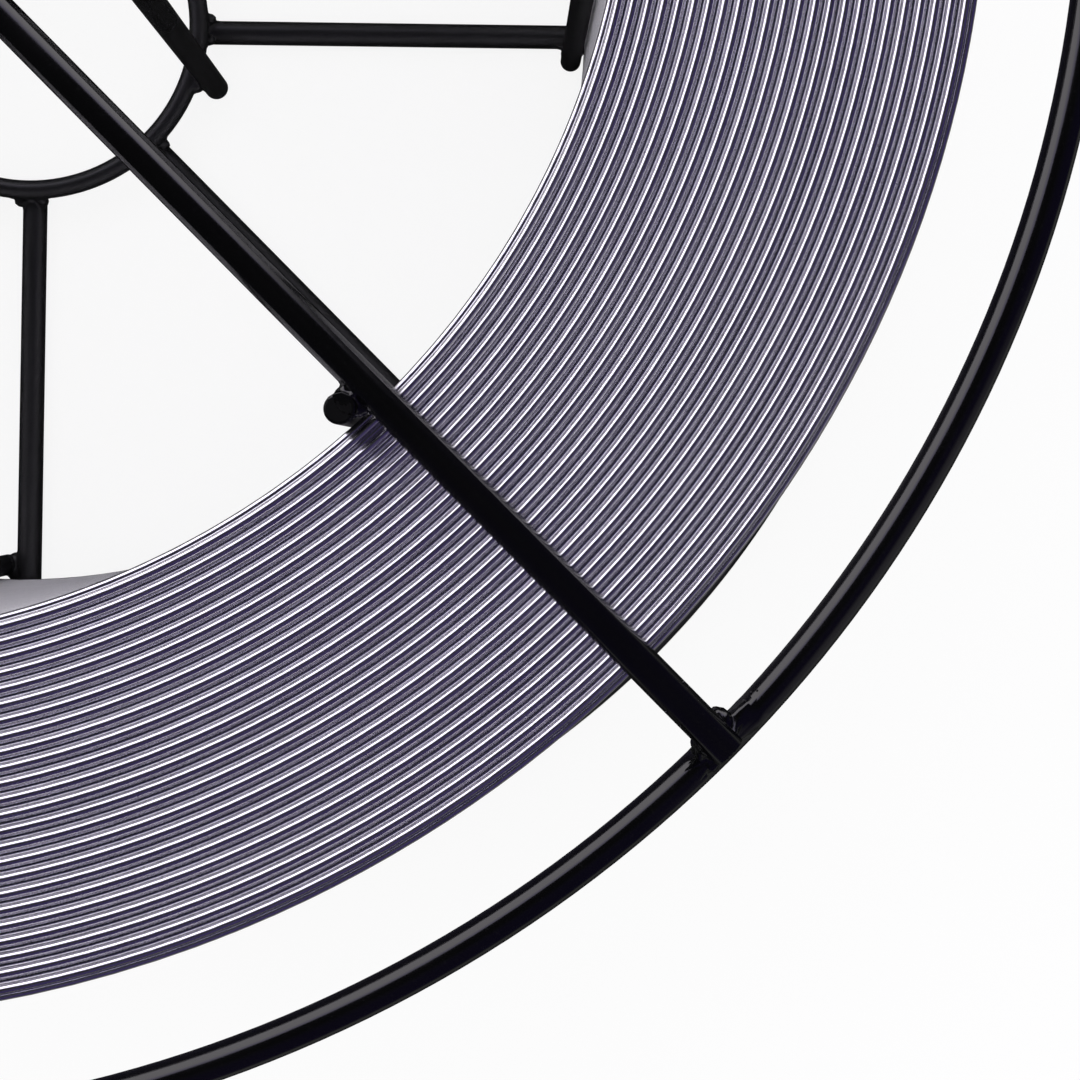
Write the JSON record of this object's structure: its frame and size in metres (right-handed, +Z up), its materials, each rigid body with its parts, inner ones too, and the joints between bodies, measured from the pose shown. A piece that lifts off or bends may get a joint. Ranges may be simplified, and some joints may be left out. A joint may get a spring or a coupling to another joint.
{
  "type": "wire basket spool of aluminium welding wire",
  "caption": "Welded rod basket spool lying on its side, layer-wound with bright aluminium welding wire, open at the hub for a feeder's spindle.",
  "frame": {"origin": "on the spindle's axis, at the level of the floor that the lower spokes lie on", "axes": "+Z up along the spindle's axis, +X along the first spoke, +Y along the third"},
  "size_m": [0.3, 0.3, 0.102],
  "materials": {
    "wire": "bright drawn",
    "rod": "gloss black"
  },
  "bodies": {
    "root": {"wire_coil": "wire", "upper_rim": "rod", "lower_rim": "rod", "upper_hub_ring": "rod", "lower_hub_ring": "rod", "upper_spoke_1": "rod", "upper_spoke_2": "rod", "upper_spoke_3": "rod", "upper_spoke_4": "rod", "upper_spoke_5": "rod", "upper_spoke_6": "rod", "upper_spoke_7": "rod", "upper_spoke_8": "rod", "lower_spoke_1": "rod", "lower_spoke_2": "rod", "lower_spoke_3": "rod", "lower_spoke_4": "rod", "lower_spoke_5": "rod", "lower_spoke_6": "rod", "lower_spoke_7": "rod", "lower_spoke_8": "rod", "barrel_bar_1": "rod", "barrel_bar_2": "rod", "barrel_bar_3": "rod", "barrel_bar_4": "rod", "barrel_bar_5": "rod", "barrel_bar_6": "rod", "barrel_bar_7": "rod", "barrel_bar_8": "rod", "hub_bar_1": "rod", "hub_bar_2": "rod", "hub_bar_3": "rod", "hub_bar_4": "rod"}
  },
  "joints": []
}
